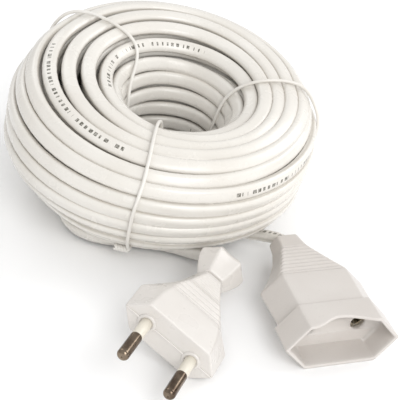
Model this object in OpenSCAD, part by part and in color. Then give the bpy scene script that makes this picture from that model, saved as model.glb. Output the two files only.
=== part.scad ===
// Two-pole extension cord: a moulded two-pin plug, a coil of flat cable held by three wire
// ties, and a moulded coupler with a hexagonal socket.
// Row frame: the origin is under the middle of the coupler, on the floor it lies on.
// The coupler's mouth faces -Y and its cable leaves towards +Y.

/* [Coupler] */
// Width of the coupler across its side points
coupler_w = 39.4; // [39:0.1:40.4]
// Thickness of the coupler's front shroud
coupler_t = 17.5; // [17.3:0.1:18.2]
// Length of the coupler from mouth to cable end
coupler_len = 57; // [56:0.5:60]
// Length of the front shroud, from the mouth to the step
shroud_len = 11.8; // [11.4:0.1:13]
// Depth of the socket recess
recess_depth = 9.4; // [8.6:0.1:9.6]
// Thickness of the shroud's walls
shroud_wall = 1.35; // [1.2:0.05:1.45]

/* [Plug] */
// Width of the plug across its side points
plug_w = 35.8; // [35.3:0.1:36]
// Thickness of the plug body at its face
plug_t = 13.4; // [13:0.1:13.8]
// Free length of a pin
pin_len = 19; // [18.5:0.1:19.5]
// Radius of a pin
pin_r = 2; // [1.95:0.01:2.03]
// Distance between the two pin axes
pin_pitch = 18; // [17.5:0.1:18.6]
// Length of the insulating sleeve that stands out of the plug face
sleeve_len = 8.3; // [7.8:0.1:9]

/* [Cable] */
// Width of the flat cable
cable_w = 5.6; // [5.4:0.1:5.7]
// Thickness of the flat cable
cable_t = 3.5; // [3.3:0.1:3.6]

/* [Coil] */
// Inner radius of the coil
coil_ri = 21.5; // [20:0.5:25]
// Outer radius of the coil
coil_ro = 61; // [58:0.5:62]
// Radius of a tie wire
tie_r = 0.65; // [0.5:0.05:0.8]

/* [Hidden] */

// Fine segments on round parts
$fn = 48;
// Cutters reach this far past a face
over = 1;
// Clearance between a buried piece and its pocket
gap = 0.05;

// Coupler: faces along Y and the middle height
mouth_y = -coupler_len / 2;
step_y = mouth_y + shroud_len;
recess_y = mouth_y + recess_depth;
tail_y = coupler_len / 2;
mid_z = coupler_t / 2;
// Half width of the coupler's flat top and bottom faces
coupler_flat = 12.2;
// The rear body is this much smaller all round than the shroud
step = 0.8;
// Contact tubes: outer and inner radius, and their length behind the shroud
contact_or = 2.7;
contact_ir = 2.05;
contact_len = 17;
// Radius of the two pin holes in the socket's back wall
pin_hole_r = 2.8;
// Carrier block that holds the contact tubes
carrier = [28, 18.2, 9.2];
carrier_end = step_y + carrier[1];
// Pocket for crimps and cores, and the slot for the cable sheath behind it
crimp_room = 9;
slot_y = carrier_end + crimp_room;
room_h = 4.6;

// Plug: place and attitude of the middle of its front face
plug_pos = [-56.2, -21.1, 12];
plug_yaw = 144;
plug_pitch = 3.5;
plug_roll = -30;
// Half width of the plug's flat top and bottom faces at its front
plug_flat = 12.1;
// Skin of the plug's front face over the bridge
face_skin = 1.2;
bridge = [26, 9.8, 8.4];
bridge_end = -face_skin - bridge[1];
// Where the cable sheath starts inside the plug
sheath_y = -24;
// End of the plug's neck and of its flared collar
neck_y = -37;
collar_y = -52.5;
// Height of the collar's hollow mouth
mouth_h = 6;
shank_r = 1.5;
sleeve_r = 1.84;
crimp_r = 1.8;
core_r = 1.1;
crimp_len = 5;

// Coil: its tilted axis passes through this point, halfway up
coil_mid = [-30.5, 86.4, 32.6];
coil_tilt = [13.9, 4.6, 0];
// Height of the coil's top face above that point, along the axis
coil_top = 20.5;
// Rounding of the coil's top edges
coil_round = 12;
// Centre of the coil's foot, and the slope and height of its underside
foot_mid = [-38, 84, 3.4];
foot_slope = -1.7;
foot_in = 27;
foot_out = 46;
foot_rise = 18;
// The foot's radii as a share of the top's
foot_size = 0.9;

// Routes: x, y, z and the turn of the cable's wide side away from flat, in degrees
coupler_route = [
    [0, 16, 8.75, 0], [0, 24, 8.75, 0], [0, 29, 8.7, 0], [-1.5, 33, 8.2, 0],
    [-5, 37.5, 6.8, 0], [-9.5, 42.5, 5, 0], [-13, 49, 3.2, 0], [-12.5, 56.5, 2.6, 0],
    [-8.5, 62.5, 2.5, 0], [-4.5, 69, 3.2, 0], [-2, 75.5, 4.6, 0], [0, 82, 7, 0]
];
plug_route = [
    [-34.4, 8.7, 9.7, 30], [-29.9, 14.9, 9.2, 35], [-27.6, 19.6, 8.5, 45],
    [-27.6, 24.5, 7.5, 60], [-30, 29.5, 6.2, 70], [-34, 34, 5, 70], [-39, 38.8, 3.9, 60],
    [-46, 43, 3.2, 45], [-53.5, 46.6, 2.7, 30], [-60, 49.8, 2.4, 20], [-65.5, 53.8, 2.4, 15],
    [-69, 59, 2.9, 10], [-70.8, 64.5, 3.8, 0], [-71, 70, 5.5, 0]
];
// Turning angle of each tie about the coil's axis, at the hole and at the rim
tie_angles = [["left", 146, 134], ["front", -122, -115], ["right", 8, -14]];

// ---- vector helpers ----
function unit(v) = v / norm(v);
function flat(list) = [for (row = list) each row];

// Point at t between b and c on the smooth curve through a, b, c and d
function spline(a, b, c, d, t) =
    0.5 * (2 * b + (c - a) * t + (2 * a - 5 * b + 4 * c - d) * t * t
        + (3 * b - a - 3 * c + d) * t * t * t);

// Smooth line through the points of a route, with steps pieces for each stretch
function smooth(p, steps) = [
    for (i = [0 : len(p) - 2], k = [0 : steps - 1])
        spline(p[max(i - 1, 0)], p[i], p[i + 1], p[min(i + 2, len(p) - 1)], k / steps),
    p[len(p) - 1]
];

function xyz(p) = [p[0], p[1], p[2]];

// Ring of 8 points for a tube of half sizes a and b, turned by roll about its line
function ring(at, dir, a, b, roll) =
    let (side = unit(cross([0, 0, 1], dir)), up = cross(dir, side))
    [for (k = [0 : 7])
        let (x = a * cos(45 * k + 22.5) / cos(22.5), y = b * sin(45 * k + 22.5) / cos(22.5))
        at + side * (x * cos(roll) - y * sin(roll)) + up * (x * sin(roll) + y * cos(roll))];

// Closed tube through the rings of an open line
module tube(rings) {
    n = len(rings);
    caps = [[for (k = [0 : 7]) k], [for (k = [7 : -1 : 0]) 8 * (n - 1) + k]];
    walls = [for (i = [0 : n - 2], k = [0 : 7])
        [8 * i + k, 8 * i + 8 + k, 8 * i + 8 + (k + 1) % 8, 8 * i + (k + 1) % 8]];
    polyhedron(points = flat(rings), faces = concat(caps, walls), convexity = 6);
}

// Flat cable along a route
module cable(route) {
    p = smooth(route, 2);
    n = len(p);
    tube([for (i = [0 : n - 1])
        ring(xyz(p[i]), unit(xyz(p[min(i + 1, n - 1)]) - xyz(p[max(i - 1, 0)])),
            cable_w / 2, cable_t / 2, p[i][3])]);
}

// ---- coupler ----
// Hexagon with side points at +-w and flats of half width a at +-h
function hexagon(w, a, h) = [[w, 0], [a, h], [-a, h], [-w, 0], [-a, -h], [a, -h]];

// Extrudes an XZ outline from y0 to y1, with its middle at the coupler's middle height
module along_y(y0, y1) {
    translate([0, y1, mid_z])
        rotate([90, 0, 0])
            linear_extrude(height = y1 - y0) children();
}

// Same, for an outline around the live (+1) or neutral (-1) contact
module at_contact(side, y0, y1) {
    translate([side * pin_pitch / 2, y1, mid_z])
        rotate([90, 0, 0])
            linear_extrude(height = y1 - y0) children();
}

module coupler_shroud() {
    inner = hexagon(coupler_w / 2 - 1.3 * shroud_wall, coupler_flat - 0.35,
        coupler_t / 2 - shroud_wall);
    color("gainsboro")
        difference() {
            along_y(mouth_y, step_y)
                polygon(hexagon(coupler_w / 2, coupler_flat, coupler_t / 2));
            along_y(mouth_y - over, recess_y) polygon(inner);
            for (side = [-1, 1])
                at_contact(side, recess_y - over, step_y + over) circle(r = pin_hole_r);
            // shallow finger notch in the top wall at the mouth
            translate([0, mouth_y, mid_z])
                linear_extrude(height = coupler_t)
                    polygon([[-12, -over], [12, -over], [11.6, 0.1], [9.8, 0.7], [6.8, 1.9],
                        [3.8, 2.9], [0.7, 3.7], [-2, 4], [-4.2, 2.8], [-6.4, 1.4], [-9.2, 0.4]]);
        }
}

// Plan outline of the coupler's rear body: straight sides, hollow flanks, narrow tail
function body_plan() =
    let (w = coupler_w / 2 - step)
    let (half = [[w, step_y], [w, tail_y - 27.2], [w - 3, tail_y - 24], [w - 6.6, tail_y - 18.5],
        [w - 9.6, tail_y - 12.5], [w - 11.8, tail_y - 6], [w - 12.7, tail_y]])
    concat(half, [for (i = [len(half) - 1 : -1 : 0]) [-half[i][0], half[i][1]]]);

module coupler_body() {
    h = coupler_t / 2 - step;
    color("gainsboro")
        difference() {
            intersection() {
                linear_extrude(height = coupler_t) polygon(body_plan());
                along_y(step_y, tail_y) polygon(hexagon(coupler_w / 2 - step, coupler_flat - 0.4, h));
                translate([-coupler_w / 2, 0, mid_z])
                    rotate([90, 0, 90])
                        linear_extrude(height = coupler_w)
                            polygon([[step_y, -h], [tail_y - 28, -h], [tail_y - 7, -4.6],
                                [tail_y, -4.2], [tail_y, 4.2], [tail_y - 7, 4.6],
                                [tail_y - 28, h], [step_y, h]]);
            }
            // pocket for the contact carrier
            translate([-carrier[0] / 2 - gap, step_y - over, mid_z - carrier[2] / 2 - gap])
                cube([carrier[0] + 2 * gap, carrier[1] + over + gap, carrier[2] + 2 * gap]);
            // room for crimps and cores, narrowing to the cable slot
            translate([0, 0, mid_z - room_h / 2])
                linear_extrude(height = room_h)
                    polygon([[-11.6, carrier_end - over], [11.6, carrier_end - over],
                        [11, carrier_end + 5], [3.2, slot_y + over], [-3.2, slot_y + over],
                        [-11, carrier_end + 5]]);
            translate([-cable_w / 2 - gap, slot_y, mid_z - cable_t / 2 - gap])
                cube([cable_w + 2 * gap, coupler_len, cable_t + 2 * gap]);
            // grip grooves between the ribs on the top and bottom faces
            for (i = [0 : 7], s = [-1, 1])
                translate([-coupler_w / 2, tail_y - 26.2 + 2.6 * i,
                    mid_z + s * (h - 0.148 * 2.6 * i + 0.2)])
                    rotate([45, 0, 0]) translate([0, -0.5, -0.5]) cube([coupler_w, 1, 1]);
        }
}

module coupler_carrier() {
    color("ivory")
        difference() {
            translate([-carrier[0] / 2, step_y, mid_z - carrier[2] / 2]) cube(carrier);
            for (side = [-1, 1])
                at_contact(side, step_y - over, carrier_end + over) circle(r = contact_or + gap);
        }
}

// Springy brass tube, open at the mouth end, with two long slits
module coupler_contact(side) {
    y1 = step_y + contact_len;
    color("goldenrod")
        difference() {
            at_contact(side, step_y, y1) circle(r = contact_or);
            at_contact(side, step_y - over, y1 - 1.5) circle(r = contact_ir);
            translate([side * pin_pitch / 2 - 0.3, step_y - over, mid_z - contact_or - over])
                cube([0.6, 11 + over, 2 * contact_or + 2 * over]);
        }
}

module coupler_crimp(side) {
    y0 = step_y + contact_len;
    color("goldenrod")
        difference() {
            at_contact(side, y0, y0 + crimp_len) circle(r = crimp_r);
            at_contact(side, y0 + 0.8, y0 + crimp_len + over) circle(r = core_r + gap);
        }
}

// Insulated core from a crimp to the sheath: straight, slanted, straight
module core(side, y0, y1, y2, inner) {
    dx = pin_pitch / 2 - inner;
    dy = y2 - y1;
    rotate([-90, 0, 0]) {
        translate([side * pin_pitch / 2, 0, y0]) cylinder(r = core_r, h = y1 - y0 + 0.4);
        translate([side * pin_pitch / 2, 0, y1])
            rotate([0, -side * atan2(dx, dy), 0]) cylinder(r = core_r, h = norm([dx, dy]));
    }
}

module coupler_core(side) {
    y0 = step_y + contact_len + 0.9;
    translate([0, 0, mid_z]) core(side, y0, y0 + crimp_len + 0.6, slot_y - 0.4, 1.5);
}

module coupler_core_live() {
    color("saddlebrown") coupler_core(1);
}

module coupler_core_neutral() {
    color("royalblue") coupler_core(-1);
}

// ---- plug, in its own frame: pins towards +Y, thickness along Z ----
module at_plug() {
    translate(plug_pos)
        rotate([0, 0, plug_yaw])
            rotate([plug_pitch, 0, 0])
                rotate([0, plug_roll, 0]) children();
}

module plug_along_y(x, y0, y1) {
    translate([x, y1, 0])
        rotate([90, 0, 0])
            linear_extrude(height = y1 - y0) children();
}

// Mirrors a half outline about X = 0
function both(half) =
    concat(half, [for (i = [len(half) - 1 : -1 : 0]) [-half[i][0], half[i][1]]]);

function plug_plan() = both([[plug_w / 2, 0], [plug_w / 2, -12.7], [14.4, -17.8], [11, -22.8],
    [8.8, -27], [6.7, -33], [5.2, neck_y]]);
function collar_plan() = both([[5.2, neck_y], [7.4, -40.5], [8.6, -44.5], [8.3, -47], [4.6, collar_y]]);

module plug_outer() {
    h = plug_t / 2;
    intersection() {
        translate([0, 0, -h]) linear_extrude(height = plug_t) polygon(plug_plan());
        plug_along_y(0, neck_y, 0) polygon(hexagon(plug_w / 2, plug_flat, h));
        translate([-plug_w / 2, 0, 0])
            rotate([90, 0, 90])
                linear_extrude(height = plug_w)
                    polygon([[0, -h], [-13, -h], [neck_y, -3.8], [neck_y, 3.8], [-13, h], [0, h]]);
    }
    intersection() {
        translate([0, 0, -h]) linear_extrude(height = plug_t) polygon(collar_plan());
        plug_along_y(0, collar_y, neck_y) polygon(hexagon(9, 4.6, 5.2));
        translate([-plug_w / 2, 0, 0])
            rotate([90, 0, 90])
                linear_extrude(height = plug_w)
                    polygon([[neck_y, -3.4], [-44, -5.2], [collar_y, -4.4], [collar_y, 4.4],
                        [-44, 5.2], [neck_y, 3.4]]);
    }
}

module plug_body() {
    color("whitesmoke")
        at_plug()
            difference() {
                plug_outer();
                for (side = [-1, 1])
                    plug_along_y(side * pin_pitch / 2, -face_skin - over, over)
                        circle(r = sleeve_r + gap);
                translate([-bridge[0] / 2 - gap, bridge_end, -bridge[2] / 2 - gap])
                    cube([bridge[0] + 2 * gap, bridge[1] + gap, bridge[2] + 2 * gap]);
                translate([0, 0, -room_h / 2])
                    linear_extrude(height = room_h)
                        polygon([[-11.4, bridge_end + over], [11.4, bridge_end + over],
                            [10.6, -17], [3.2, sheath_y - over], [-3.2, sheath_y - over],
                            [-10.6, -17]]);
                translate([-cable_w / 2 - gap, collar_y - over, -cable_t / 2 - gap])
                    cube([cable_w + 2 * gap, sheath_y - collar_y + over, cable_t + 2 * gap]);
                // trumpet mouth of the collar, wider on the side the cable bends to
                translate([0, 0, -mouth_h / 2])
                    linear_extrude(height = mouth_h)
                        polygon([[-3, neck_y - 2], [3, neck_y - 2], [4.2, -45],
                            [6, collar_y - over], [-3.6, collar_y - over]]);
                // grip grooves: wide ones, then fine ones, then one deep groove at the neck
                for (i = [0 : 3], s = [-1, 1]) groove(-16 - 2.5 * i, s, 0.5);
                for (i = [0 : 7], s = [-1, 1]) groove(-26.2 - 1.2 * i, s, 0.3);
                for (s = [-1, 1]) groove(neck_y, s, 0.9);
            }
}

// One groove across the plug's tapering top (s = 1) or bottom (s = -1) face
module groove(y, s, d) {
    z = 3.8 + (plug_t / 2 - 3.8) * (y - neck_y) / (-13 - neck_y);
    translate([-plug_w / 2, y, s * (z + 0.4 * d)])
        rotate([45, 0, 0]) translate([0, -d, -d]) cube([plug_w, 2 * d, 2 * d]);
}

module plug_bridge() {
    color("ivory")
        at_plug()
            difference() {
                translate([-bridge[0] / 2, bridge_end + gap, -bridge[2] / 2])
                    cube([bridge[0], bridge[1] - gap, bridge[2]]);
                for (side = [-1, 1])
                    plug_along_y(side * pin_pitch / 2, bridge_end - over, over)
                        circle(r = shank_r + gap);
            }
}

// Turned pin: shank through the bridge, full radius in front, rounded tip with a small flat
module plug_pin(side) {
    tip = 1.3;
    profile = concat([[0, bridge_end], [shank_r, bridge_end], [shank_r, sleeve_len],
        [pin_r, sleeve_len], [pin_r, pin_len - tip]],
        [for (a = [15 : 15 : 90]) [pin_r - tip + tip * cos(a), pin_len - tip + tip * sin(a)]],
        [[0, pin_len]]);
    color("silver")
        at_plug()
            translate([side * pin_pitch / 2, 0, 0])
                rotate([-90, 0, 0]) rotate_extrude() polygon(profile);
}

module plug_sleeve(side) {
    color("linen")
        at_plug()
            plug_along_y(side * pin_pitch / 2, -face_skin, sleeve_len)
                difference() {
                    circle(r = sleeve_r);
                    circle(r = shank_r + 0.02);
                }
}

module plug_crimp(side) {
    color("goldenrod")
        at_plug()
            difference() {
                plug_along_y(side * pin_pitch / 2, bridge_end - crimp_len, bridge_end)
                    circle(r = crimp_r);
                plug_along_y(side * pin_pitch / 2, bridge_end - crimp_len - over, bridge_end - 0.8)
                    circle(r = core_r + gap);
            }
}

module plug_core(side) {
    y0 = -bridge_end + 0.9;
    at_plug() mirror([0, 1, 0]) core(side, y0, y0 + crimp_len + 0.4, -sheath_y - 0.4, 1.5);
}

module plug_core_live() {
    color("saddlebrown") plug_core(1);
}

module plug_core_neutral() {
    color("royalblue") plug_core(-1);
}

// ---- cable ----
// Tilted ring with rounded top edges, standing on a chamfered, nearly level foot
module cable_coil() {
    arc = [for (a = [0 : 15 : 90]) coil_round * [cos(a), sin(a)]];
    outer = [for (p = arc) [coil_ro - coil_round + p[0], coil_top - coil_round + p[1]]];
    inner = [for (i = [6 : -1 : 0])
        [coil_ri + coil_round - arc[i][0], coil_top - coil_round + arc[i][1]]];
    color("gainsboro")
        intersection() {
            translate(coil_mid)
                rotate(coil_tilt)
                    rotate_extrude($fn = 96)
                        polygon(concat([[coil_ro, -60]], outer, inner, [[coil_ri, -60]]));
            translate(foot_mid)
                rotate([foot_slope, 0, 0])
                    rotate_extrude($fn = 96)
                        polygon([[foot_in, 0], [foot_out, 0], [coil_ro + 14, foot_rise * 2],
                            [coil_ro + 14, 90], [coil_ri - 14, 90], [coil_ri - 14, foot_rise * 2]]);
        }
}

module cable_lead_coupler() {
    color("gainsboro") cable(coupler_route);
}

module cable_lead_plug() {
    color("gainsboro") cable(plug_route);
}

// ---- ties ----
module tie(angles) {
    n = 28;
    rm = (coil_ri + coil_ro) / 2;
    rw = (coil_ro - coil_ri) / 2 + tie_r + 0.6;
    // outline point k of the coil's section, from hole to rim over the top and back below
    pts = [for (k = [0 : n - 1])
        let (c = cos(360 * k / n), s = sin(360 * k / n))
        let (u = sign(c) * pow(abs(c), 0.75), v = sign(s) * pow(abs(s), 0.75))
        let (r = rm + rw * u, th = angles[1] + (angles[2] - angles[1]) * (u + 1) / 2)
        let (top = tilted([r * cos(th), r * sin(th), coil_top + tie_r + 0.4]))
        let (low = foot_mid + [foot_size * r * cos(th), foot_size * r * sin(th),
            r * sin(th) * tan(foot_slope) - tie_r])
        low + (top - low) * (v + 1) / 2];
    color("white") loop(pts, tie_r);
}

// A point in the coil's tilted frame, in row coordinates
function tilted(p) =
    let (y1 = p[1] * cos(coil_tilt[0]) - p[2] * sin(coil_tilt[0]))
    let (z1 = p[1] * sin(coil_tilt[0]) + p[2] * cos(coil_tilt[0]))
    coil_mid + [p[0] * cos(coil_tilt[1]) + z1 * sin(coil_tilt[1]), y1,
        z1 * cos(coil_tilt[1]) - p[0] * sin(coil_tilt[1])];

// Closed round wire through a ring of points
module loop(p, r) {
    n = len(p);
    mid = [for (j = [0 : 2]) [for (q = p) q[j]] * [for (q = p) 1] / n];
    rings = [for (i = [0 : n - 1])
        let (dir = unit(p[(i + 1) % n] - p[(i + n - 1) % n]))
        let (side = unit(cross(dir, cross(p[i] - mid, dir))), up = cross(dir, side))
        [for (k = [0 : 7]) p[i] + r * (side * cos(45 * k) + up * sin(45 * k))]];
    walls = [for (i = [0 : n - 1], k = [0 : 7])
        [8 * i + k, 8 * ((i + 1) % n) + k, 8 * ((i + 1) % n) + (k + 1) % 8, 8 * i + (k + 1) % 8]];
    polyhedron(points = flat(rings), faces = walls, convexity = 6);
}

coupler_shroud();
coupler_body();
coupler_carrier();
coupler_contact(1);  // coupler_contact_live
coupler_contact(-1);  // coupler_contact_neutral
coupler_crimp(1);  // coupler_crimp_live
coupler_crimp(-1);  // coupler_crimp_neutral
coupler_core_live();
coupler_core_neutral();
plug_body();
plug_bridge();
plug_pin(1);  // plug_pin_live
plug_pin(-1);  // plug_pin_neutral
plug_sleeve(1);  // plug_sleeve_live
plug_sleeve(-1);  // plug_sleeve_neutral
plug_crimp(1);  // plug_crimp_live
plug_crimp(-1);  // plug_crimp_neutral
plug_core_live();
plug_core_neutral();
cable_coil();
cable_lead_plug();
cable_lead_coupler();
tie(tie_angles[0]);  // tie_left
tie(tie_angles[1]);  // tie_front
tie(tie_angles[2]);  // tie_right
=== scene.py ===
"""A two-pole extension cord: a coil of flat white cable in three wire ties, its plug and its coupler.

Lengths inside the script are in millimetres, in the frame of the CAD model, and are multiplied by MM
when a mesh is made. The object's numbers repeat those of the CAD source.
"""
import math
import bmesh
import bpy
import numpy as np
from mathutils import Matrix, Vector, geometry


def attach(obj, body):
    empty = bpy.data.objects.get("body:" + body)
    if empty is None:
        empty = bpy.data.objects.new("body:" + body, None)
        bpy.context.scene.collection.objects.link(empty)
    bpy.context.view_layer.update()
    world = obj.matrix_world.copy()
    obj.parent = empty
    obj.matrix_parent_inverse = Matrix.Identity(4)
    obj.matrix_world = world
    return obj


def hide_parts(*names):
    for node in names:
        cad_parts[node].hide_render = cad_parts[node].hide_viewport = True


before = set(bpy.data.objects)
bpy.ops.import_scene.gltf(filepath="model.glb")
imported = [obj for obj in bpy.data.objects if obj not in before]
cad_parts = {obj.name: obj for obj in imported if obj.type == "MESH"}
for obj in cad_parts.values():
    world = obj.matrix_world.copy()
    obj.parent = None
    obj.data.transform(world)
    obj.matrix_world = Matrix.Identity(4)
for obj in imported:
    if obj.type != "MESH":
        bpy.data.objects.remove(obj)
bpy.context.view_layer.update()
BODY = "root"
MM = 0.001
TURN = 2 * math.pi
rng = np.random.default_rng(7)

# ---------------------------------------------------------------- camera


def make_camera():
    """The camera: its azimuth, elevation and roll, the point it looks at and its distance."""
    azimuth, elevation, roll = np.radians([18.08, 32.19, -5.187])
    target = Vector((-0.0188, 0.0751, 0.0))
    forward = Vector((math.sin(azimuth) * math.cos(elevation),
                      math.cos(azimuth) * math.cos(elevation), -math.sin(elevation)))
    right = Vector((math.cos(azimuth), -math.sin(azimuth), 0.0))
    down = forward.cross(right)
    turned_right = right * math.cos(roll) + down * math.sin(roll)
    turned_down = down * math.cos(roll) - right * math.sin(roll)
    data = bpy.data.cameras.new("camera")
    data.lens = 93.0
    data.sensor_width = 36.0
    data.clip_start, data.clip_end = 0.01, 20.0
    camera = bpy.data.objects.new("camera", data)
    bpy.context.scene.collection.objects.link(camera)
    axes = Matrix((turned_right, -turned_down, -forward)).transposed()
    distance = 0.41466
    camera.matrix_world = Matrix.Translation(target - forward * distance) @ axes.to_4x4()
    bpy.context.scene.camera = camera


make_camera()

# ---------------------------------------------------------------- helpers


def unit(v):
    v = np.asarray(v, float)
    return v / np.linalg.norm(v, axis=-1, keepdims=True)


def dot(a, b):
    return (a * b).sum(-1, keepdims=True)


def smoothed(values, sigma):
    """values along axis 0, blurred by a Gaussian of that many samples."""
    reach = int(4 * sigma) + 1
    kernel = np.exp(-0.5 * (np.arange(-reach, reach + 1) / sigma) ** 2)
    kernel /= kernel.sum()
    values = np.asarray(values, float)
    flat = values.reshape(len(values), -1)
    padded = np.concatenate([np.repeat(flat[:1], reach, 0), flat, np.repeat(flat[-1:], reach, 0)])
    out = np.stack([np.convolve(padded[:, k], kernel, "valid") for k in range(flat.shape[1])], 1)
    return out.reshape(values.shape)


def catmull(points, steps):
    """A smooth line through points, with steps samples for each stretch."""
    p = np.asarray(points, float)
    p = np.concatenate([2 * p[:1] - p[1:2], p, 2 * p[-1:] - p[-2:-1]])
    t = np.arange(steps)[:, None] / steps
    out = []
    for a, b, c, d in zip(p[:-3], p[1:-2], p[2:-1], p[3:]):
        out.append(0.5 * (2 * b + (c - a) * t + (2 * a - 5 * b + 4 * c - d) * t ** 2
                          + (3 * b - a - 3 * c + d) * t ** 3))
    return np.concatenate(out + [p[-2:-1]])


def spaced(points, pitch):
    """The same line, with its samples an even pitch apart."""
    step = np.linalg.norm(np.diff(points[:, :3], axis=0), axis=1)
    run = np.concatenate([[0], np.cumsum(step)])
    at = np.linspace(0, run[-1], max(2, int(round(run[-1] / pitch)) + 1))
    return np.stack([np.interp(at, run, points[:, k]) for k in range(points.shape[1])], 1)


def along(points, closed=False):
    """Unit direction of a line at each of its points."""
    if closed:
        return unit(np.roll(points, -1, 0) - np.roll(points, 1, 0))
    return unit(np.gradient(points, axis=0))


def add_mesh(name, points, faces, material, uvs=None):
    """A shown piece from points in millimetres. uvs has one pair for each corner of each face."""
    mesh = bpy.data.meshes.new(name)
    mesh.from_pydata((np.asarray(points, float) * MM).tolist(), [], [list(map(int, f)) for f in faces])
    if uvs is not None:
        layer = mesh.uv_layers.new(name="UVMap")
        layer.data.foreach_set("uv", np.asarray(uvs, np.float32).ravel())
    mesh.shade_smooth()
    mesh.materials.append(material)
    piece = bpy.data.objects.new(name, mesh)
    bpy.context.scene.collection.objects.link(piece)
    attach(piece, BODY)
    return piece


def sweep(line, wide, thin, section, closed=False):
    """Points, faces and uvs of a tube: section's x lies along wide and its y along thin."""
    n, m = len(line), len(section)
    section = np.asarray(section, float)
    rings = (line[:, None] + section[None, :, :1] * wide[:, None]
             + section[None, :, 1:] * thin[:, None])
    i = np.arange(n if closed else n - 1)[:, None]
    k = np.arange(m)[None]
    i1, k1 = (i + 1) % n, (k + 1) % m
    faces = np.stack([i * m + k + 0 * i1, i * m + k1 + 0 * i1, i1 * m + k1, i1 * m + k], -1)
    step = np.linalg.norm(np.diff(line, axis=0), axis=1)
    run = np.concatenate([[0], np.cumsum(step)]) * MM
    far = run[1:] if not closed else np.append(run[1:], run[-1] + step[-1] * MM)
    near = run if closed else run[:-1]
    u0 = np.repeat(near[:, None], m, 1)
    u1 = np.repeat(far[:, None], m, 1)
    v0 = np.repeat(k / m, len(near), 0)
    v1 = np.repeat((k + 1) / m, len(near), 0)
    uvs = np.stack([np.stack([u0, v0], -1), np.stack([u0, v1], -1),
                    np.stack([u1, v1], -1), np.stack([u1, v0], -1)], 2)
    faces = faces.reshape(-1, 4).tolist()
    uvs = uvs.reshape(-1, 2)
    if not closed:
        faces.append(list(range(m))[::-1])
        faces.append([(n - 1) * m + j for j in range(m)])
        uvs = np.concatenate([uvs, np.zeros((2 * m, 2))])
    return rings.reshape(-1, 3), faces, uvs


# ---------------------------------------------------------------- materials


def new_material(name, colour, roughness, **settings):
    """A material with those values on its shader's own sockets; gives its node tree and its shader."""
    material = bpy.data.materials.new(name)
    material.use_nodes = True
    shader = material.node_tree.nodes["Principled BSDF"]
    shader.inputs["Base Color"].default_value = (*colour, 1)
    shader.inputs["Roughness"].default_value = roughness
    for key, value in settings.items():
        shader.inputs[key.replace("_", " ")].default_value = value
    return material, material.node_tree, shader


def node(tree, kind, settings=None, **inputs):
    """A new node. Each input is named, or i0, i1 and so on, and holds a value or another node's socket."""
    made = tree.nodes.new("ShaderNode" + kind)
    for key, value in (settings or {}).items():
        setattr(made, key, value)
    for key, value in inputs.items():
        socket = made.inputs[int(key[1:]) if key[1:].isdigit() else key.replace("_", " ")]
        if isinstance(value, bpy.types.NodeSocket):
            tree.links.new(value, socket)
        else:
            socket.default_value = value
    return made


def maths(tree, operation, *values):
    """The result of a Math node on values and sockets."""
    inputs = {f"i{k}": v for k, v in enumerate(values)}
    return node(tree, "Math", {"operation": operation}, **inputs).outputs[0]


def noise(tree, scale, detail):
    """Noise in the object's own space, with scale features to a metre."""
    place = node(tree, "TexCoord").outputs["Object"]
    return node(tree, "TexNoise", None, Vector=place, Scale=scale, Detail=detail).outputs["Fac"]


def ranged(tree, value, low, high, new_low=0.0, new_high=1.0):
    """value scaled so that low becomes new_low and high becomes new_high, and held between them."""
    return node(tree, "MapRange", None, Value=value, From_Min=low, From_Max=high,
                To_Min=new_low, To_Max=new_high).outputs["Result"]


def mixed(tree, factor, first, second):
    """The colour first, going over to second as factor goes from 0 to 1."""
    made = node(tree, "Mix", {"data_type": "RGBA"})
    tree.links.new(factor, made.inputs["Factor"])
    for name, value in (("A", first), ("B", second)):
        socket = [i for i in made.inputs if i.name == name and i.type == "RGBA"][0]
        if isinstance(value, bpy.types.NodeSocket):
            tree.links.new(value, socket)
        else:
            socket.default_value = (*value, 1)
    return [o for o in made.outputs if o.type == "RGBA"][0]


def bumped(tree, shader, height, distance, strength):
    """Gives the shader fine relief from height, up to distance in metres."""
    bump = node(tree, "Bump", None, Height=height, Distance=distance, Strength=strength)
    tree.links.new(bump.outputs["Normal"], shader.inputs["Normal"])


def vinyl(name, colour, shade, rough=(0.24, 0.36)):
    """Moulded plastic: a cloudy tint with faint specks, a satin skin of uneven gloss, and a fine grain.

    Gives the material, its tree, its shader and the socket of its tint."""
    material, tree, shader = new_material(name, colour, rough[0], Coat_Weight=0.15, Coat_Roughness=0.15)
    cloud = ranged(tree, noise(tree, 55, 4), 0.35, 0.65)
    tint = mixed(tree, cloud, colour, shade)
    speck = maths(tree, "MULTIPLY", ranged(tree, noise(tree, 900, 1), 0.66, 0.74), 0.2)
    tint = mixed(tree, speck, tint, tuple(0.82 * c for c in shade))
    tree.links.new(tint, shader.inputs["Base Color"])
    tree.links.new(ranged(tree, noise(tree, 140, 3), 0.3, 0.7, *rough), shader.inputs["Roughness"])
    bumped(tree, shader, noise(tree, 2600, 2), 0.00004, 0.35)
    return material, tree, shader, tint


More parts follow.
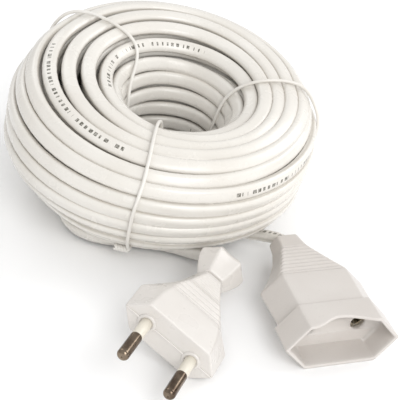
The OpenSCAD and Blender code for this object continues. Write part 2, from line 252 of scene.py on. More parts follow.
def cable_vinyl():
    """The sheath: painted shade along its round edges, standing for the shade in the creases between the
    coil's turns, and runs of generic ink dashes along its wide faces.

    The UV map's u is the way along the cable in metres, and its v the way round the section."""
    colour, shade = (0.73, 0.705, 0.66), (0.69, 0.66, 0.61)
    material, tree, shader, tint = vinyl("cable_pvc", colour, shade, rough=(0.2, 0.31))
    uv = node(tree, "UVMap", {"uv_map": "UVMap"}).outputs["UV"]
    split = node(tree, "SeparateXYZ", None, Vector=uv)
    u, v = split.outputs["X"], split.outputs["Y"]
    half_way = maths(tree, "FRACT", maths(tree, "MULTIPLY", v, 2.0))  # the section's two halves are alike
    edge = maths(tree, "ABSOLUTE", maths(tree, "SUBTRACT", half_way, EDGE_SHARE))
    # painted shade: the round edges darken towards their middle, as if in shade where the turns meet in
    # the coil; the loose leads are darkened the same way
    edge_shade = maths(tree, "MULTIPLY", ranged(tree, edge, 0.13, 0.0), 0.6)
    tint = mixed(tree, edge_shade, tint, (0.40, 0.36, 0.30))
    # ink: runs of dashes, each dash of its own length
    across = ranged(tree, half_way, *FACE_SHARES)
    row = maths(tree, "COMPARE", across, 0.5, 0.34)
    run = maths(tree, "LESS_THAN", maths(tree, "FRACT", maths(tree, "DIVIDE", u, INK_REPEAT)), INK_PART)
    step = maths(tree, "DIVIDE", u, INK_PITCH)
    chance = node(tree, "TexWhiteNoise", {"noise_dimensions": "1D"}, W=maths(tree, "FLOOR", step))
    chance = chance.outputs["Value"]
    dash = maths(tree, "LESS_THAN", maths(tree, "FRACT", step), maths(tree, "MULTIPLY", chance, 0.8))
    ink = maths(tree, "MULTIPLY", maths(tree, "MULTIPLY", row, run), dash)
    worn = ranged(tree, noise(tree, 1500, 1), 0.4, 0.55, 0.55, 0.95)
    tint = mixed(tree, maths(tree, "MULTIPLY", ink, worn), tint, (0.07, 0.065, 0.045))
    tree.links.new(tint, shader.inputs["Base Color"])
    return material


def metal(name, colour, tarnish, rough):
    """Plated metal: clouds of tarnish, uneven gloss and a fine grain."""
    material, tree, shader = new_material(name, colour, rough[0], Metallic=1.0)
    cloud = ranged(tree, noise(tree, 180, 3), 0.3, 0.7)
    tree.links.new(mixed(tree, cloud, colour, tarnish), shader.inputs["Base Color"])
    tree.links.new(ranged(tree, noise(tree, 500, 3), 0.3, 0.7, *rough), shader.inputs["Roughness"])
    bumped(tree, shader, noise(tree, 3500, 2), 0.00002, 0.3)
    return material


EDGE_SHARE = 4 / 9  # where a round edge's middle is, in each half of the way round the section
FACE_SHARES = (8 / 9, 1.0)  # and where its wide face lies
INK_REPEAT = 0.77  # metres of cable from one run of dashes to the next
INK_PART = 0.085  # share of that length with dashes on it
INK_PITCH = 0.0022  # metres from one dash to the next

MAT = {
    "cable_pvc": cable_vinyl(),
    "plug_pvc": vinyl("plug_pvc", (0.655, 0.625, 0.592), (0.62, 0.587, 0.55))[0],
    "coupler_pvc": vinyl("coupler_pvc", (0.61, 0.575, 0.542), (0.58, 0.542, 0.508), (0.3, 0.42))[0],
    "tie_wire": vinyl("tie_wire", (0.76, 0.74, 0.70), (0.70, 0.67, 0.62), (0.3, 0.4))[0],
    "sleeve_plastic": vinyl("sleeve_plastic", (0.70, 0.66, 0.57), (0.66, 0.61, 0.52), (0.3, 0.42))[0],
    "carrier_plastic": vinyl("carrier_plastic", (0.62, 0.60, 0.56), (0.57, 0.55, 0.50), (0.4, 0.5))[0],
    "core_brown": vinyl("core_brown", (0.16, 0.075, 0.035), (0.13, 0.06, 0.03), (0.35, 0.5))[0],
    "core_blue": vinyl("core_blue", (0.035, 0.12, 0.36), (0.03, 0.10, 0.30), (0.35, 0.5))[0],
    "pin_nickel": metal("pin_nickel", (0.27, 0.215, 0.16), (0.08, 0.055, 0.04), (0.08, 0.2)),
    "contact_brass": metal("contact_brass", (0.80, 0.74, 0.62), (0.66, 0.58, 0.42), (0.3, 0.45)),
}

# the hard parts inside the plug and the coupler, which stay as the CAD has them
CAD_FINISHES = {
    "coupler_carrier": "carrier_plastic", "plug_bridge": "carrier_plastic",
    "coupler_contact_live": "contact_brass", "coupler_contact_neutral": "contact_brass",
    "coupler_crimp_live": "contact_brass", "coupler_crimp_neutral": "contact_brass",
    "plug_crimp_live": "contact_brass", "plug_crimp_neutral": "contact_brass",
    "coupler_core_live": "core_brown", "plug_core_live": "core_brown",
    "coupler_core_neutral": "core_blue", "plug_core_neutral": "core_blue",
}
for cad_name, finish in CAD_FINISHES.items():
    for material_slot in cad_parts[cad_name].material_slots:
        material_slot.material = MAT[finish]

# ---------------------------------------------------------------- cable

CABLE_W, CABLE_T = 5.6, 3.5
COIL_RI, COIL_RO = 20.0, 61.6  # radii of the hole and the rim
COIL_MID = np.array([-28.0, 86.4, 32.6])  # a point of the tilted axis
COIL_TILT = np.radians([13.9, 4.6])  # about X and then Y
COIL_TOP = 20.5  # height of the top above that point, along the axis
RIM_SHIFT = -4.9  # the rim's centre lies this far along X from the hole's
FOOT_MID = np.array([-36.0, 84.0, 3.4])
FOOT_SIZE = 0.9  # of the top's radii
FOOT_RISE = 0.03  # how far the foot falls per millimetre along Y
SECTION_POWER = 2 / 2.6  # of the superellipse that rounds the coil's section
# where the rim swells or draws in: angle, height, reach of each, and size
SWELLS = [(-50, 0.12, 40, 0.3, 4.5), (178, 0.35, 30, 0.25, 1.2), (-165, 0.05, 32, 0.25, -10.0)]
SAMPLES = 72  # of each turn
# turns, inset, and the first and last share of the way round the section, of each layer
LAYERS = [(9, 14.2, 1.0, 0.0), (13, 10.1, 0.045, 0.955), (17, 6.0, 0.94, 0.06), (22, 1.85, 0.056, 0.98)]
# where the wound cable starts and ends, as angles round the coil
START, END = np.radians([-3.0, -158.0])
FIRST_INSET, FIRST_TURN = 3.1, 0.09  # inset of the first stretch, and its share of a turn
# how neighbouring turns drift apart and together: waves round the section and round the coil, and size
DRIFTS = [(2, 1, 0.0022), (3, 2, 0.002), (4, -1, 0.0016), (5, 3, 0.0016), (3, -2, 0.002)]
# turns closer together than LEAN_PITCH lean over until their round edges touch; EDGE_SPAN lies between
# the centres of the cable's two edges, and LEAN_LEAST is the least cosine of the lean
EDGE_SPAN, LEAN_PITCH, LEAN_LEAST = 2.1, 5.65, 0.72
# each wire tie's way round the section: share of the way, and angle round the coil
TIES = {
    "tie_left": [(0.05, 140), (0.2, 150), (0.3, 155), (0.34, 148), (0.37, 129), (0.41, 122), (0.46, 127),
                 (0.51, 130), (0.56, 133), (0.65, 135), (0.8, 136), (0.95, 138)],
    "tie_front": [(0.05, -114), (0.2, -117), (0.36, -122), (0.42, -122), (0.5, -119), (0.55, -117.5),
                  (0.62, -116), (0.72, -116), (0.82, -115), (0.95, -113)],
    "tie_right": [(0.05, 4), (0.2, 8), (0.29, 10), (0.33, 10), (0.37, 4), (0.41, -2), (0.46, -4),
                  (0.51, -4), (0.57, -6), (0.61, -14), (0.7, -17), (0.85, -12), (0.95, -2)],
}
TIE_R, TIE_LIFT = 0.65, 0.75  # radius of the tie wire, and how far outside the coil's skin its middle is
TWIST_TURNS, TWIST_LIFT = 2.5, 0.7  # turns of the twisted ends, and how much farther out they lie
# share of the way round the section where each tie's ends are twisted, and the degrees they reach over
TWISTS = {"tie_left": (0.8, -14), "tie_front": (0.9, -6), "tie_right": (0.8, 14)}
# x, y, z and roll away from lying flat, in degrees, of the two leads
COUPLER_ROUTE = np.array([
    (0, 16, 8.75, 0), (0, 24, 8.75, 0), (0, 29, 8.7, 0), (-1.5, 33, 8.2, 0), (-5, 37.5, 6.8, 0),
    (-9.5, 42.5, 5, 0), (-13, 49, 3.2, 0), (-12.5, 56.5, 2.6, 0), (-8.5, 62.5, 2.5, 0),
    (-4.5, 69, 3.2, 0), (-2, 75.5, 4.6, 0)], float)
PLUG_ROUTE = np.array([
    (-34.4, 8.7, 9.7, 30), (-29.9, 14.9, 9.2, 35), (-27.6, 19.6, 8.5, 45), (-27.6, 24.5, 7.5, 60),
    (-30, 29.5, 6.2, 70), (-34, 34, 5, 70), (-39, 38.8, 4.2, 60), (-46, 43, 3.6, 45),
    (-53.5, 46.0, 3.5, 42), (-61, 48.2, 3.7, 55), (-68, 51.8, 4.2, 64), (-73, 57.5, 4.5, 64),
    (-74.5, 64.5, 5.0, 50)], float)


def tilted(p):
    """Points of the coil's tilted frame, in the row frame."""
    (sx, cx), (sy, cy) = [(math.sin(a), math.cos(a)) for a in COIL_TILT]
    y = p[..., 1] * cx - p[..., 2] * sx
    z = p[..., 1] * sx + p[..., 2] * cx
    return COIL_MID + np.stack([p[..., 0] * cy + z * sy, y, z * cy - p[..., 0] * sy], -1)


def coil_shell(radius, theta, v):
    """The coil's body, ruled from its foot, v = 0, to its tilted top, v = 1."""
    x, y = radius * np.cos(theta), radius * np.sin(theta)
    low = FOOT_MID + np.stack([FOOT_SIZE * x, FOOT_SIZE * y, -FOOT_RISE * y], -1)
    top = tilted(np.stack([x, y, COIL_TOP + 0 * x], -1))
    return low + (top - low) * np.asarray(v)[..., None]


def coil_outline(theta, inset, share):
    """Points of the coil's section at angle theta, inset from its skin, at that share of the way round
    it: from the middle of the foot to the hole, over the top, down the rim and back."""
    theta, inset, share = np.broadcast_arrays(*map(np.asarray, (theta, inset, share)))
    middle = (COIL_RI + COIL_RO) / 2
    half_w = (COIL_RO - COIL_RI) / 2 - inset
    reach = np.linalg.norm(coil_shell(middle + 0 * theta, theta, 1 + 0 * theta)
                           - coil_shell(middle + 0 * theta, theta, 0 * theta), axis=-1) / 2
    half_h = reach - inset
    phi = -TURN / 4 - np.linspace(0, TURN, 241)
    u = np.sign(np.cos(phi)) * np.abs(np.cos(phi)) ** SECTION_POWER
    w = np.sign(np.sin(phi)) * np.abs(np.sin(phi)) ** SECTION_POWER
    u = half_w[:, None] * u[None]
    w = half_h[:, None] * w[None]
    step = np.hypot(np.diff(u, axis=1), np.diff(w, axis=1))
    run = np.concatenate([np.zeros((len(step), 1)), np.cumsum(step, axis=1)], 1)
    at = share * run[:, -1]
    index = (run < at[:, None]).sum(1).clip(1, run.shape[1] - 1)
    rows = np.arange(len(theta))
    t = (at - run[rows, index - 1]) / (run[rows, index] - run[rows, index - 1] + 1e-9)
    uu = u[rows, index - 1] * (1 - t) + u[rows, index] * t
    ww = w[rows, index - 1] * (1 - t) + w[rows, index] * t
    v = 0.5 + ww / (2 * reach)
    swell = RIM_SHIFT * np.cos(theta)
    for at_angle, at_height, wide, high, size in SWELLS:
        turned = (np.degrees(theta) - at_angle + 180) % 360 - 180
        swell = swell + size * np.exp(-(turned / wide) ** 2 - ((v - at_height) / high) ** 2)
    full_w = (COIL_RO - COIL_RI) / 2
    radius = middle + uu + swell * (uu / full_w + 1) / 2
    return coil_shell(radius, theta, v), run[:, -1]


def wander(count, spacing, size):
    """Smooth seeded noise of that many samples, which changes over spacing samples."""
    knots = rng.normal(0, 1, count // spacing + 4)
    at = np.arange(count) / spacing
    value = np.interp(at, np.arange(len(knots)), knots)
    return size * smoothed(value, spacing * 0.4)


def coil_line():
    """The wound cable: its centreline, the way across its turns and how far each turn leans over."""
    turns = sum(layer[0] for layer in LAYERS) + (END - START) / TURN
    count = int(round(turns * SAMPLES)) + 1
    turn = np.arange(count) / SAMPLES
    theta = START + turn * TURN
    knots_turn, knots_share, inset = [], [], np.zeros(count)
    done = 0.0
    for n, depth, first, last in LAYERS:
        stop = min(done + n, turns)
        knots_turn += [done + 0.05, stop - 0.05]
        knots_share += [first, last]
        inset[turn >= done] = depth
        done = stop
    share = np.interp(turn, knots_turn, knots_share)
    inset[turn < FIRST_TURN] = FIRST_INSET
    share, inset = smoothed(share, 5), smoothed(inset, 5)
    slope = np.gradient(share) * SAMPLES
    drift = np.zeros(count)
    for lobes, spin, size in DRIFTS:
        phase = rng.uniform(0, TURN, 2)
        drift += size * np.cos(lobes * TURN * share + phase[0]) * np.cos(spin * theta + phase[1])
    easy = np.clip(np.minimum(turn, turns - turn) / 0.4, 0, 1)
    drift = drift + wander(count, 14, 0.0035)
    share = share + drift * easy
    inset = inset + wander(count, 11, 0.35) * easy
    for knots in TIES.values():
        middle = math.radians(sum(angle for _, angle in knots) / len(knots))
        away = (theta - middle + math.pi) % TURN - math.pi
        inset = inset + 0.35 * np.exp(-(away / 0.16) ** 2) * easy
    line, around = coil_outline(theta, inset, share)
    ahead, _ = coil_outline(theta, inset, share + 0.002)
    across = unit(ahead - line)
    pitch = np.abs(slope) * around
    lean = (pitch ** 2 + EDGE_SPAN ** 2 - CABLE_T ** 2) / (2 * EDGE_SPAN * pitch)
    lean = np.where(pitch < LEAN_PITCH, np.arccos(np.clip(lean, LEAN_LEAST, 1)), 0) * np.sign(slope)
    lean = smoothed(lean, 8) + wander(count, 18, 0.07) * easy
    return line, across, lean


def cable_frames(line, wide):
    """Wide and thin directions of the cable, square to its line and turning without a jump."""
    for k in range(1, len(wide)):
        if wide[k] @ wide[k - 1] < 0:
            wide[k] = -wide[k]
    wide = smoothed(wide, 3)
    t = along(line)
    wide = unit(wide - dot(wide, t) * t)
    return wide, np.cross(t, wide)


def rolled(line, roll):
    """Wide direction of a lead from its roll in degrees away from lying flat."""
    t = along(line)
    side = unit(np.cross([0, 0, 1.0], t))
    up = np.cross(t, side)
    a = np.radians(roll)[:, None]
    return side * np.cos(a) + up * np.sin(a)


def join(lead, wound, pitch=1.6):
    """A lead's line, carried smoothly on to where the wound line starts."""
    turned = np.concatenate([wound[:4:2], np.full((2, 1), lead[-1, 3])], 1)
    line = catmull(np.concatenate([lead, turned]), 8)
    return spaced(line[:-8], pitch)[:-1]


def cable_line():
    """The whole cable from the coupler to the plug: its centreline and its wide direction."""
    wound, across, lean = coil_line()
    t = along(wound)
    across = unit(across - dot(across, t) * t)
    out = np.cross(t, across)
    # the side that faces away from the middle of the coil's section
    section_r = 41.0
    middle = coil_shell(np.full(len(t), section_r), START + np.arange(len(t)) * TURN / SAMPLES,
                        np.full(len(t), 0.5))
    out = out * np.sign(dot(out, wound - middle))
    a = lean[:, None]
    wide = across * np.cos(a) - out * np.sin(a)
    first = join(COUPLER_ROUTE, wound)
    last = join(PLUG_ROUTE, wound[::-1])
    line = np.concatenate([first[:, :3], wound, last[::-1, :3]])
    hint = np.concatenate([rolled(first[:, :3], first[:, 3]), wide, rolled(last[:, :3], last[:, 3])[::-1]])
    return line, hint


def cable_section():
    """The flat cable's section: two round edges and two flat faces."""
    half = CABLE_W / 2 - CABLE_T / 2
    a = np.radians(np.arange(-90, 91, 22.5))
    right = np.stack([half + CABLE_T / 2 * np.cos(a), CABLE_T / 2 * np.sin(a)], 1)
    return np.concatenate([right, -right])


line, hint = cable_line()
wide, thin = cable_frames(line, hint)
points, faces, uvs = sweep(line, wide, thin, cable_section())
cable = add_mesh("cable", points, faces, MAT["cable_pvc"], uvs)
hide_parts("cable_coil", "cable_lead_plug", "cable_lead_coupler")


# ---------------------------------------------------------------- ties


def tie_angle(knots, share):
    """A tie's angle round the coil, in radians, at that share of the way round the section."""
    shares, angles = np.array(knots, float).T
    at = np.arange(-50, 150) / 100
    fine = np.interp(at, np.concatenate([shares - 1, shares, shares + 1]), np.tile(angles, 3))
    return np.radians(np.interp(share, at, smoothed(fine, 1.5)))


def wire(lines):
    """Round wire along each line, as one mesh; a line is its points and whether it is closed."""
    points, faces, uvs, base = [], [], [], 0
    a = np.arange(12) / 12 * TURN
    ring = np.stack([np.cos(a), np.sin(a)], 1) * TIE_R
    for path, closed in lines:
        t = along(path, closed)
        side = unit(np.cross(t, path - path.mean(0) + [0.01, 0.02, 0.03]))
        p, f, uv = sweep(path, side, np.cross(t, side), ring, closed)
        points.append(p)
        faces += [[base + i for i in face] for face in f]
        uvs.append(uv)
        base += len(p)
    return np.concatenate(points), faces, np.concatenate(uvs)


def make_tie(name, knots, twist_share, twist_turn):
    """A wire loop round the coil's section, and its two ends twisted together where it closes."""
    count = 120
    share = np.arange(count) / count
    loop = coil_outline(tie_angle(knots, share), np.full(count, -TIE_LIFT), share)[0]
    # the twisted ends lie along the coil from the loop
    s = np.linspace(0, 1, 41)
    start = tie_angle(knots, twist_share)
    spine = coil_outline(start + np.radians(twist_turn) * s, np.full(len(s), -TIE_LIFT - TWIST_LIFT),
                         np.full(len(s), twist_share))[0]
    t = along(spine)
    side = unit(np.cross(t, [0, 0, 1.0]))
    up = np.cross(t, side)
    a = (s * TWIST_TURNS * TURN)[:, None]
    strands = []
    for sign in (1, -1):
        strand = spine + sign * TIE_R * (side * np.cos(a) + up * np.sin(a))
        strand[:, 2] = np.maximum(strand[:, 2], TIE_R)  # not under the floor
        strands.append((strand, False))
    points, faces, uvs = wire([(loop, True)] + strands)
    tie = add_mesh(name + "_wire", points, faces, MAT["tie_wire"], uvs)
    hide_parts(name)
    return tie


ties = [make_tie(name, knots, *TWISTS[name]) for name, knots in TIES.items()]

# ---------------------------------------------------------------- moulded bodies


def rounded_hexagon(w, a, h, r, splits=4):
    """Outline with tips at x = +-w and flats of half width a at z = +-h, its corners eased by r.

    Gives the points and, for each, how far a rib's groove reaches it: +1 on the top flat, -1 on the
    bottom one and 0 off them."""
    corners = np.array([(w, 0), (a, h), (-a, h), (-w, 0), (-a, -h), (a, -h)], float)
    on_flat = {1: (0, 1), 2: (1, 0), 4: (0, -1), 5: (-1, 0)}  # of the corner's incoming and outgoing edge
    points, pull = [], []
    for k in range(6):
        corner, before, after = corners[k], corners[k - 1], corners[(k + 1) % 6]
        reach = min(r, 0.4 * np.linalg.norm(before - corner), 0.4 * np.linalg.norm(after - corner))
        start = corner + unit(before - corner) * reach
        end = corner + unit(after - corner) * reach
        entering, leaving = on_flat.get(k, (0, 0))
        for t in (0, 0.25, 0.5, 0.75, 1):
            points.append(start * (1 - t) ** 2 + 2 * corner * t * (1 - t) + end * t ** 2)
            pull.append(entering * (1 - t) ** 0.5 + leaving * t ** 0.5)
        following = corners[(k + 2) % 6]
        gap = min(r, 0.4 * np.linalg.norm(corner - after), 0.4 * np.linalg.norm(following - after))
        goal = after + unit(corner - after) * gap
        for j in range(1, splits):
            points.append(end + (goal - end) * j / splits)
            pull.append(leaving)
    return np.array(points), np.array(pull, float)


def loft(rings, caps=(True, True)):
    """Points and faces of a skin through rings of equally many points."""
    n, m = len(rings), len(rings[0])
    faces = [(i * m + k, i * m + (k + 1) % m, (i + 1) * m + (k + 1) % m, (i + 1) * m + k)
             for i in range(n - 1) for k in range(m)]
    if caps[0]:
        faces.append(tuple(range(m))[::-1])
    if caps[1]:
        faces.append(tuple((n - 1) * m + k for k in range(m)))
    return np.concatenate(rings), faces


def joined(parts):
    """Several (points, faces) meshes as one."""
    points, faces, base = [], [], 0
    for p, f in parts:
        points.append(np.asarray(p, float))
        faces += [tuple(base + i for i in face) for face in f]
        base += len(p)
    return np.concatenate(points), faces


def lathe(profile, turns=40):
    """Points and faces of a round piece about the Y axis, from (radius, y) pairs."""
    a = np.arange(turns) / turns * TURN
    rings = [np.stack([r * np.cos(a), np.full(turns, y), -r * np.sin(a)], 1) for r, y in profile]
    return loft(rings)


def tidy_normals(piece):
    """Keeps large faces flat beside their rounded edges."""
    modifier = piece.modifiers.new("normals", "WEIGHTED_NORMAL")
    modifier.keep_sharp = True
    modifier.weight = 80


def ribs(y, start, pitch, count, depth):
    """Depth of the grooves that part a row of round ribs running back from start."""
    at = (start - y) / pitch
    inside = (at > 0) & (at < count)
    return np.where(inside, depth * (1 - np.abs(np.sin(np.pi * at))) ** 1.2, 0)


# ---------------------------------------------------------------- plug

PLUG_POS = np.array([-56.2, -21.1, 12.0])
PLUG_YAW, PLUG_PITCH, PLUG_ROLL = (math.radians(a) for a in (144, 3.5, -30))
PLUG_TURN = np.array(Matrix.Rotation(PLUG_YAW, 3, "Z") @ Matrix.Rotation(PLUG_PITCH, 3, "X")
                     @ Matrix.Rotation(PLUG_ROLL, 3, "Y"))
PIN_PITCH = 18.0
NECK_Y, COLLAR_Y = -37.1, -52.5  # the deep groove of the neck, and the collar's end


def at_plug(points):
    """Points of the plug's own frame, pins towards +Y, in the row frame."""
    return PLUG_POS + np.asarray(points, float) @ PLUG_TURN.T


def plug_rings():
    """Sections of the plug's body from its face back to its collar, close together where it is ribbed."""
    front = 0.55  # rounding of the face's rim
    ease = np.radians(np.linspace(90, 0, 5))
    levels = [(-front + front * math.sin(e), front * (1 - math.cos(e))) for e in ease]
    ys = np.concatenate([np.arange(-0.9, -14.2, -0.75), np.arange(-14.3, -25.6, -0.2),
                         np.arange(-25.7, -36.2, -0.12), np.arange(-36.4, -38.2, -0.15),
                         np.arange(-38.4, -50.6, -0.35)])
    levels += [(y, 0.0) for y in ys]
    end = 0.9  # rounding of the collar's end
    levels += [(COLLAR_Y + end - end * math.sin(e), end * (1 - math.cos(e))) for e in ease[::-1]]
    y = np.array([v[0] for v in levels])
    inset = np.array([v[1] for v in levels])
    fine = np.arange(-53.5, 1.0, 0.1)

    def shape(pairs, blur):
        """A size at each y, from (y, size) pairs, eased over blur tenths of a millimetre."""
        knots = np.array(pairs)[::-1]
        return np.interp(y, fine, smoothed(np.interp(fine, knots[:, 0], knots[:, 1]), blur))

    # half width at the tips, half width of the flats, and half height
    w = shape([(0, 17.9), (-12.7, 17.9), (-17.8, 14.4), (-22.8, 11), (-27, 8.8), (-33, 6.7), (-37, 5.3),
               (-40.5, 7.3), (-44.5, 9.0), (-47.6, 9.4), (-48.6, 8.8), (COLLAR_Y, 5.2)], 5)
    a = shape([(0, 12.1), (-9, 11), (-14, 9.6), (-21, 7.8), (-26.5, 5.8), (-35, 3.1), (-37.5, 2.9),
               (-41, 3.6), (-44.5, 4.1), (-48.2, 4.5), (COLLAR_Y, 3.7)], 5)
    h = shape([(0, 6.7), (-13, 6.7), (-37, 3.9), (-38.2, 3.8), (-41, 4.7), (-45, 5.9), (-48.1, 6.6),
               (-49.2, 6.1), (COLLAR_Y, 4.2)], 4)
    raised = shape([(0, 0), (-38, 0), (-43, 1), (-47.6, 2.3), (COLLAR_Y, 1.2)], 5)  # of the tips
    dip = ribs(y, -14.6, 2.6, 4, 0.95) + ribs(y, -25.9, 1.2, 8, 0.55)
    dip = dip + 2.1 * np.exp(-((y - NECK_Y) / 0.55) ** 4)
    rings = []
    for k in range(len(y)):
        outline, pull = rounded_hexagon(w[k] - 1.2 * inset[k], a[k] - 0.6 * inset[k], h[k] - inset[k], 0.7)
        z = outline[:, 1] - pull * dip[k] + raised[k] * (outline[:, 0] / w[k]) ** 2
        rings.append(np.stack([outline[:, 0], np.full(len(z), y[k]), z], 1))
    return rings


def strip(start, end, width, height):
    """A low ridge with a round back on the plug's face, from start to end."""
    start, end = np.array(start, float), np.array(end, float)
    t = unit(end - start)
    side = np.cross(t, [0, 1.0, 0])
    a = np.radians(np.linspace(0, 180, 7))
    cut = [np.cos(a) * width / 2, np.sin(a) * height - 0.05]
    rings = [p + cut[0][:, None] * side + cut[1][:, None] * np.array([0, 1.0, 0]) for p in (start, end)]
    return loft(rings)


def pin_profile():
    """A pin from its buried shank to its round tip, with a small sunken flat, as (radius, y) pairs."""
    shank, full, tip, length = 1.5, 2.0, 1.3, 19.0
    turn = np.radians(np.arange(90, -1, -10))
    rounded = [(full - tip + tip * math.sin(e), length - tip + tip * math.cos(e)) for e in turn]
    return ([(0, -11.0), (shank, -11.0), (shank, 8.2), (1.96, 8.22), (full, 8.4), (full, 13.0)] + rounded
            + [(0.62, length), (0.55, 18.93), (0, 18.93)])


def sleeve_rings():
    """Rings of a pin's sleeve, a thin tube whose last ring is its first one."""
    profile = [(1.52, -1.2), (1.94, -1.2), (1.94, 4), (1.92, 7.9), (1.86, 8.15), (1.52, 8.2)]
    a = np.arange(40) / 40 * TURN
    return [np.stack([r * np.cos(a), np.full(40, y), -r * np.sin(a)], 1)
            for r, y in profile + profile[:1]]


def make_plug():
    parts = [loft(plug_rings())]
    # low ridges across the face, between the pins and beside them
    for x0, x1 in ((-17.2, -12.0), (-6.0, 6.0), (12.0, 17.2)):
        parts.append(strip((x0, 0, 0), (x1, 0, 0), 0.8, 0.4))
    # the raised rings round the pins
    ring = [(0, -0.2), (3.3, -0.2), (3.25, 0.2), (3.0, 0.5), (2.6, 0.6), (2.2, 0.5), (2.0, 0.2), (0, 0.1)]
    for x in (-PIN_PITCH / 2, PIN_PITCH / 2):
        p, f = lathe(ring)
        parts.append((p + [x, 0, 0], f))
    points, faces = joined(parts)
    body = add_mesh("plug_moulding", at_plug(points), faces, MAT["plug_pvc"])
    tidy_normals(body)
    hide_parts("plug_body")
    pieces = [body]
    for name, x in (("live", PIN_PITCH / 2), ("neutral", -PIN_PITCH / 2)):
        p, f = lathe(pin_profile())
        pin = add_mesh("pin_" + name, at_plug(p + [x, 0, 0]), f, MAT["pin_nickel"])
        tidy_normals(pin)
        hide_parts("plug_pin_" + name)
        p, f = loft(sleeve_rings(), caps=(False, False))
        place = at_plug(p + [x, 0, 0])
        sleeve = add_mesh("sleeve_" + name, place, f, MAT["sleeve_plastic"])
        tidy_normals(sleeve)
        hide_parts("plug_sleeve_" + name)
        pieces += [pin, sleeve]
    return pieces


# ---------------------------------------------------------------- coupler

COUPLER_Z = 8.75
MOUTH_Y, STEP_Y, RECESS_Y, TAIL_Y = -28.5, -16.7, -19.1, 28.5
HOLE_R = 2.8


def at_coupler(points):
    """Points given from the coupler's middle height, in the row frame."""
    return np.asarray(points, float) + [0, 0, COUPLER_Z]


def holed_face(outline, y, normal_to_minus_y):
    """A flat face across the coupler at y, with its two pin holes; gives points and triangles."""
    a = np.arange(32) / 32 * TURN
    loops = [outline] + [np.stack([s * PIN_PITCH / 2 + HOLE_R * np.cos(a), HOLE_R * np.sin(a)], 1)
                         for s in (1, -1)]
    flat = [[Vector((x, z, 0)) for x, z in loop] for loop in loops]
    triangles = geometry.tessellate_polygon(flat)
    xz = np.concatenate(loops)
    points = np.stack([xz[:, 0], np.full(len(xz), y), xz[:, 1]], 1)
    faces = []
    for i, j, k in triangles:
        u, v = xz[j] - xz[i], xz[k] - xz[i]
        towards_minus_y = u[0] * v[1] - u[1] * v[0] > 0
        faces.append((i, j, k) if towards_minus_y == normal_to_minus_y else (k, j, i))
    return points, faces


def hole_wall(x, y0, y1, closed):
    """Wall of a pin hole from y0 to y1, with a floor at y1 if it is closed."""
    a = np.arange(32) / 32 * TURN
    rings = [np.stack([x + HOLE_R * np.cos(a), np.full(32, y), HOLE_R * np.sin(a)], 1) for y in (y1, y0)]
    return loft(rings, caps=(closed, False))


def shroud_outline(w, a, h, r):
    """The shroud's outline, with enough points along its top for the finger notch."""
    return rounded_hexagon(w, a, h, r, splits=40)[0]


def notch_depth(x):
    """How far the finger notch reaches back from the mouth in the top wall, across its width."""
    at = [-10.6, -9.2, -6.4, -4.2, -2, 0.7, 3.8, 6.8, 9.8, 11.6]
    depth = [0, 0.4, 1.5, 2.9, 3.8, 3.8, 3.1, 2.0, 0.7, 0]
    fine = np.linspace(-13, 13, 261)
    soft = smoothed(np.interp(fine, at, depth), 5)
    return np.interp(x, fine, soft)


def make_shroud():
    wall = 1.35
    w, a, h = 19.7, 12.2, 8.75  # half width at the tips, half width of the flats, and half height
    outer = [shroud_outline(w - 1.2 * d, a - 0.6 * d, h - d, 0.6) for d in (0.35, 0.0)]
    top = outer[1][:, 1] > h - 0.5
    back = np.where(top, notch_depth(outer[1][:, 0]), 0)
    back = smoothed(back, 1.0)

    def row(outline, y, follow):
        return np.stack([outline[:, 0], y + follow * back, outline[:, 1]], 1)

    inner = shroud_outline(w - 1.3 * wall, a - 0.35, h - wall, 0.5)
    inner_lip = shroud_outline(w - 1.1 * wall, a - 0.3, h - wall + 0.15, 0.5)
    floor = shroud_outline(w - 1.75 * wall, a - 0.5, h - 1.25 * wall, 0.4)
    rows = [row(outer[0], STEP_Y, 0), row(outer[1], STEP_Y - 0.35, 0), row(outer[1], STEP_Y - 4, 0.0)]
    rows += [row(outer[1], MOUTH_Y + 3.2, 0.35), row(outer[1], MOUTH_Y + 1.2, 0.85),
             row(outer[1], MOUTH_Y + 0.35, 1.0)]
    middle = (outer[1] + inner_lip) / 2
    rows += [row(outer[1] * 0.8 + middle * 0.2, MOUTH_Y + 0.08, 1), row(middle, MOUTH_Y, 1),
             row(inner_lip * 0.7 + middle * 0.3, MOUTH_Y + 0.06, 1), row(inner_lip, MOUTH_Y + 0.3, 1),
             row(inner, MOUTH_Y + 1.2, 0.85), row(inner, MOUTH_Y + 3.4, 0.3),
             row(inner * 0.5 + floor * 0.5, RECESS_Y - 2, 0.0), row(floor, RECESS_Y, 0)]
    skin = loft(rows, caps=(False, False))
    parts = [skin, holed_face(floor, RECESS_Y, True), holed_face(outer[0], STEP_Y, False)]
    parts += [hole_wall(s * PIN_PITCH / 2, RECESS_Y, STEP_Y, False) for s in (1, -1)]
    points, faces = joined(parts)
    place = at_coupler(points)
    shroud = add_mesh("coupler_shroud_moulding", place, faces, MAT["coupler_pvc"])
    weld(shroud)
    tidy_normals(shroud)
    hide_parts("coupler_shroud")


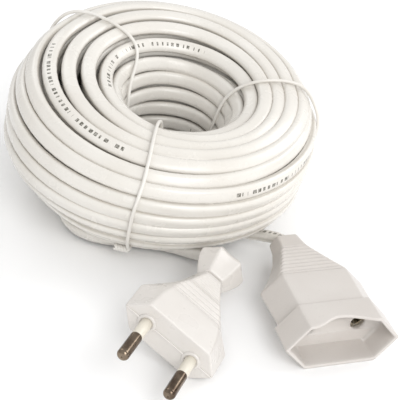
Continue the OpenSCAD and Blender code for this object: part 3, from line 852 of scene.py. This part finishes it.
def make_coupler_body():
    ys = np.concatenate([[STEP_Y, STEP_Y + 0.25], np.arange(-15.5, 0.6, 0.9), np.arange(0.7, 20.6, 0.2),
                         np.arange(20.9, 27.6, 0.5)])
    end = 0.7  # rounding of the tail's end
    ease = np.radians(np.linspace(0, 90, 5))
    tail = [(TAIL_Y - end + end * math.sin(e), end * (1 - math.cos(e))) for e in ease]
    y = np.concatenate([ys, [t[0] for t in tail]])
    inset = np.concatenate([0 * ys, [t[1] for t in tail]])
    fine = np.arange(-18, 29.5, 0.1)

    def shape(pairs, blur):
        """A size at each y, from (y, size) pairs, eased over blur tenths of a millimetre."""
        knots = np.array(pairs)
        return np.interp(y, fine, smoothed(np.interp(fine, knots[:, 0], knots[:, 1]), blur))

    # half width at the tips, half width of the flats, and half height
    w = shape([(-17, 18.0), (1.3, 18.8), (4.5, 15.9), (10, 12.3), (16, 9.3), (22.5, 7.1), (28.5, 6.2)], 8)
    a = shape([(-17, 11.2), (0.6, 11.5), (4, 10.4), (10, 8.1), (20.3, 4.5), (28.5, 3.6)], 6)
    h = shape([(-17, 7.5), (0.4, 7.9), (21.5, 4.8), (28.5, 4.2)], 5)
    dip = ribs(-y, -0.9, 2.42, 8, 1.0)
    dip = dip + 0.5 * np.exp(-((y - STEP_Y - 0.2) / 0.35) ** 4)
    rings = []
    for k in range(len(y)):
        outline, pull = rounded_hexagon(w[k] - 1.2 * inset[k], a[k] - 0.6 * inset[k], h[k] - inset[k], 0.7)
        z = outline[:, 1] - pull * dip[k]
        rings.append(np.stack([outline[:, 0], np.full(len(z), y[k]), z], 1))
    # the tail's end face turns in round the cable
    mouth_ring = rings[-1][:, [0, 2]]
    angle = np.arctan2(mouth_ring[:, 1], mouth_ring[:, 0])
    for grow, y_in in ((0.25, TAIL_Y), (0.1, TAIL_Y - 0.3), (0.1, TAIL_Y - 4)):
        half_w, half_t = CABLE_W / 2 + grow, CABLE_T / 2 + grow
        sum_of_cubes = (np.abs(np.cos(angle)) / half_w) ** 3 + (np.abs(np.sin(angle)) / half_t) ** 3
        reach = 1 / sum_of_cubes ** (1 / 3)
        x_in, z_in = reach * np.cos(angle), reach * np.sin(angle)
        rings.append(np.stack([x_in, np.full(len(angle), y_in), z_in], 1))
    rings = rings[::-1]
    parts = [loft(rings, caps=(True, False)), holed_face(rings[-1][:, [0, 2]], STEP_Y, True)]
    hole_depth = 18
    parts += [hole_wall(s * PIN_PITCH / 2, STEP_Y, STEP_Y + hole_depth, True) for s in (1, -1)]
    points, faces = joined(parts)
    body = add_mesh("coupler_body_moulding", at_coupler(points), faces, MAT["coupler_pvc"])
    weld(body)
    tidy_normals(body)
    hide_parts("coupler_body")


def weld(piece):
    """Joins points that meet, and turns all faces outwards."""
    made = bmesh.new()
    made.from_mesh(piece.data)
    bmesh.ops.remove_doubles(made, verts=made.verts, dist=1e-5)
    bmesh.ops.recalc_face_normals(made, faces=made.faces)
    made.to_mesh(piece.data)
    made.free()


plug_pieces = make_plug()
make_shroud()
make_coupler_body()

# ---------------------------------------------------------------- stage


# name, place and size in metres, and watts of each light
LIGHTS = [("key", (0.1, -0.85, 0.75), 0.6, 5.0), ("front", (-0.15, -1.1, 0.4), 0.7, 2.4),
          ("fill", (0.9, 0.1, 0.6), 0.6, 3.5), ("back", (-0.3, 0.9, 0.8), 0.6, 1.5)]
LIT_POINT = Vector((-0.02, 0.08, 0.02))


def make_stage():
    mesh = bpy.data.meshes.new("floor")
    s = 6.0
    mesh.from_pydata([(-s, -s, 0), (s, -s, 0), (s, s, 0), (-s, s, 0)], [], [(0, 1, 2, 3)])
    material, tree, shader = new_material("floor", (0.95, 0.95, 0.95), 0.7)
    cloud = ranged(tree, noise(tree, 3, 2), 0.3, 0.7)
    tint = mixed(tree, cloud, (0.955, 0.955, 0.955), (0.945, 0.945, 0.945))
    tree.links.new(tint, shader.inputs["Base Color"])
    mesh.materials.append(material)
    floor = bpy.data.objects.new("floor", mesh)
    bpy.context.scene.collection.objects.link(floor)
    world = bpy.data.worlds.new("world")
    world.use_nodes = True
    world.node_tree.nodes["Background"].inputs["Color"].default_value = (1, 1, 1, 1)
    world.node_tree.nodes["Background"].inputs["Strength"].default_value = 0.76
    bpy.context.scene.world = world
    for name, at, size, power in LIGHTS:
        light = bpy.data.lights.new(name, "AREA")
        light.size = size
        light.energy = power
        lamp = bpy.data.objects.new(name, light)
        bpy.context.scene.collection.objects.link(lamp)
        lamp.location = at
        lamp.rotation_mode = "QUATERNION"
        lamp.rotation_quaternion = (LIT_POINT - Vector(at)).to_track_quat("-Z", "Y")
    bpy.context.scene.view_settings.view_transform = "Standard"


make_stage()
